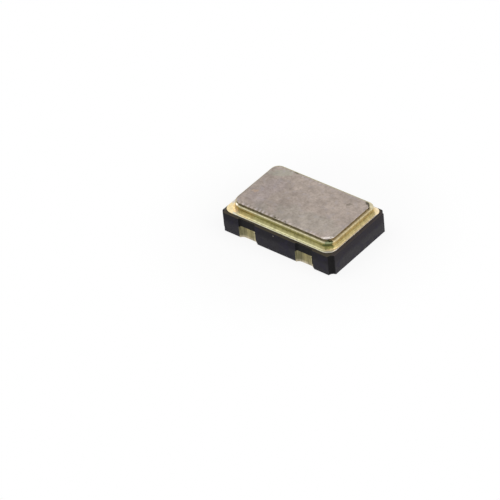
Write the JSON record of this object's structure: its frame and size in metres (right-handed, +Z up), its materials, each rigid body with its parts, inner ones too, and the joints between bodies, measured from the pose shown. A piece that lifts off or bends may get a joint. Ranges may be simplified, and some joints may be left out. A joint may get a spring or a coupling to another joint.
{
  "type": "crystal oscillator",
  "caption": "Surface-mount crystal oscillator: black ceramic package with gold solder pads in edge grooves, a gold-plated seal ring and a seam-welded metal lid over the quartz and its circuit.",
  "frame": {"origin": "middle of the solder plane, at the underside of the four solder pads", "axes": "+X along the long sides; +Y across, from the side of pins 1 and 2 to the side of pins 3 and 4; +Z up out of the lid"},
  "size_m": [0.005, 0.0032, 0.0012],
  "materials": {
    "black_ceramic": "unglazed fired black alumina, satin",
    "gold_plating": "matte gold plating over nickel on printed tungsten",
    "plated_ring": "gold-plated iron-nickel-cobalt alloy ring, satin",
    "nickel_lid": "matte nickel-plated iron-nickel-cobalt alloy, fine mottle",
    "silicon": "polished silicon",
    "aluminium_pad": "bright",
    "gold_wire": "bright drawn gold",
    "silver_adhesive": "silver-filled adhesive, matte",
    "quartz": "lapped quartz",
    "silver_electrode": "evaporated silver"
  },
  "bodies": {
    "root": {"ceramic_base": "black_ceramic", "terminal_1": "gold_plating", "terminal_2": "gold_plating", "terminal_3": "gold_plating", "terminal_4": "gold_plating", "seal_band": "gold_plating", "seal_braze": "gold_plating", "seal_ring": "plated_ring", "lid": "nickel_lid", "lead_1": "gold_plating", "lead_2": "gold_plating", "lead_3": "gold_plating", "lead_4": "gold_plating", "crystal_print_1": "gold_plating", "crystal_print_2": "gold_plating", "die_paddle": "gold_plating", "die_attach": "silver_adhesive", "oscillator_die": "silicon", "die_bond_pads": "aluminium_pad", "bond_wire_1": "gold_wire", "bond_wire_2": "gold_wire", "bond_wire_3": "gold_wire", "bond_wire_4": "gold_wire", "bond_wire_5": "gold_wire", "bond_wire_6": "gold_wire", "adhesive_dot_1": "silver_adhesive", "adhesive_dot_2": "silver_adhesive", "crystal_blank": "quartz", "electrode_top": "silver_electrode", "electrode_bottom": "silver_electrode"}
  },
  "joints": []
}
